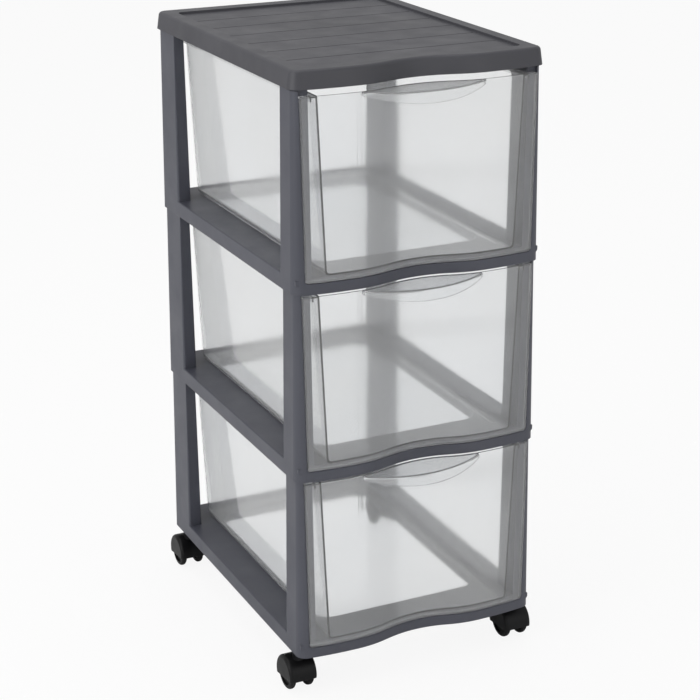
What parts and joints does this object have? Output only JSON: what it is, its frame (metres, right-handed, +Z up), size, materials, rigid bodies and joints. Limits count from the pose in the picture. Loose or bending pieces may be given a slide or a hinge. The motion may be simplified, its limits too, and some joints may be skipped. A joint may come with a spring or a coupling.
{
  "type": "drawer tower",
  "caption": "Rolling storage tower of stacked grey frames with clear wavy-fronted pull-out drawers, a slatted lid and twin-wheel swivel casters.",
  "frame": {"origin": "on the floor at the centre of the footprint, pulls and casters included", "axes": "+Z up; the drawers open towards -Y; +X is to the right for someone facing the drawers"},
  "size_m": [0.3158, 0.437, 0.7225],
  "materials": {
    "frame_grey": "smooth satin moulded polypropylene",
    "drawer_clear": "clear, slightly milky polypropylene",
    "caster_black": "satin moulded nylon",
    "steel": "zinc-plated rod"
  },
  "bodies": {
    "tower": {"frame_bottom": "frame_grey", "frame_middle": "frame_grey", "frame_top": "frame_grey", "top_lid": "frame_grey", "caster_stem_front_left": "steel", "caster_stem_front_right": "steel", "caster_stem_back_left": "steel", "caster_stem_back_right": "steel"},
    "drawer_bottom": {"drawer_bottom": "drawer_clear"},
    "drawer_middle": {"drawer_middle": "drawer_clear"},
    "drawer_top": {"drawer_top": "drawer_clear"},
    "caster_front_left": {"caster_hood_front_left": "caster_black", "caster_axle_front_left": "steel"},
    "caster_wheel_front_left_l": {"caster_wheel_front_left_l": "caster_black"},
    "caster_wheel_front_left_r": {"caster_wheel_front_left_r": "caster_black"},
    "caster_front_right": {"caster_hood_front_right": "caster_black", "caster_axle_front_right": "steel"},
    "caster_wheel_front_right_l": {"caster_wheel_front_right_l": "caster_black"},
    "caster_wheel_front_right_r": {"caster_wheel_front_right_r": "caster_black"},
    "caster_back_left": {"caster_hood_back_left": "caster_black", "caster_axle_back_left": "steel"},
    "caster_wheel_back_left_l": {"caster_wheel_back_left_l": "caster_black"},
    "caster_wheel_back_left_r": {"caster_wheel_back_left_r": "caster_black"},
    "caster_back_right": {"caster_hood_back_right": "caster_black", "caster_axle_back_right": "steel"},
    "caster_wheel_back_right_l": {"caster_wheel_back_right_l": "caster_black"},
    "caster_wheel_back_right_r": {"caster_wheel_back_right_r": "caster_black"}
  },
  "joints": [
    {"name": "drawer_bottom_slide", "type": "slide", "parent": "tower", "child": "drawer_bottom", "axis": [0, -1, 0], "range_m": [0, 0.3]},
    {"name": "drawer_middle_slide", "type": "slide", "parent": "tower", "child": "drawer_middle", "axis": [0, -1, 0], "range_m": [0, 0.3]},
    {"name": "drawer_top_slide", "type": "slide", "parent": "tower", "child": "drawer_top", "axis": [0, -1, 0], "range_m": [0, 0.3]},
    {"name": "caster_front_left_swivel", "type": "hinge", "parent": "tower", "child": "caster_front_left", "pos_m": [-0.141, -0.1635, 0.045], "axis": [0, 0, 1], "continuous": true},
    {"name": "caster_wheel_front_left_l_spin", "type": "hinge", "parent": "caster_front_left", "child": "caster_wheel_front_left_l", "pos_m": [-0.141, -0.1575, 0.019], "axis": [1, 0, 0], "continuous": true},
    {"name": "caster_wheel_front_left_r_spin", "type": "hinge", "parent": "caster_front_left", "child": "caster_wheel_front_left_r", "pos_m": [-0.141, -0.1575, 0.019], "axis": [1, 0, 0], "continuous": true},
    {"name": "caster_front_right_swivel", "type": "hinge", "parent": "tower", "child": "caster_front_right", "pos_m": [0.141, -0.1635, 0.045], "axis": [0, 0, 1], "continuous": true},
    {"name": "caster_wheel_front_right_l_spin", "type": "hinge", "parent": "caster_front_right", "child": "caster_wheel_front_right_l", "pos_m": [0.141, -0.1575, 0.019], "axis": [1, 0, 0], "continuous": true},
    {"name": "caster_wheel_front_right_r_spin", "type": "hinge", "parent": "caster_front_right", "child": "caster_wheel_front_right_r", "pos_m": [0.141, -0.1575, 0.019], "axis": [1, 0, 0], "continuous": true},
    {"name": "caster_back_left_swivel", "type": "hinge", "parent": "tower", "child": "caster_back_left", "pos_m": [-0.141, 0.1865, 0.045], "axis": [0, 0, 1], "continuous": true},
    {"name": "caster_wheel_back_left_l_spin", "type": "hinge", "parent": "caster_back_left", "child": "caster_wheel_back_left_l", "pos_m": [-0.141, 0.1925, 0.019], "axis": [1, 0, 0], "continuous": true},
    {"name": "caster_wheel_back_left_r_spin", "type": "hinge", "parent": "caster_back_left", "child": "caster_wheel_back_left_r", "pos_m": [-0.141, 0.1925, 0.019], "axis": [1, 0, 0], "continuous": true},
    {"name": "caster_back_right_swivel", "type": "hinge", "parent": "tower", "child": "caster_back_right", "pos_m": [0.141, 0.1865, 0.045], "axis": [0, 0, 1], "continuous": true},
    {"name": "caster_wheel_back_right_l_spin", "type": "hinge", "parent": "caster_back_right", "child": "caster_wheel_back_right_l", "pos_m": [0.141, 0.1925, 0.019], "axis": [1, 0, 0], "continuous": true},
    {"name": "caster_wheel_back_right_r_spin", "type": "hinge", "parent": "caster_back_right", "child": "caster_wheel_back_right_r", "pos_m": [0.141, 0.1925, 0.019], "axis": [1, 0, 0], "continuous": true}
  ]
}
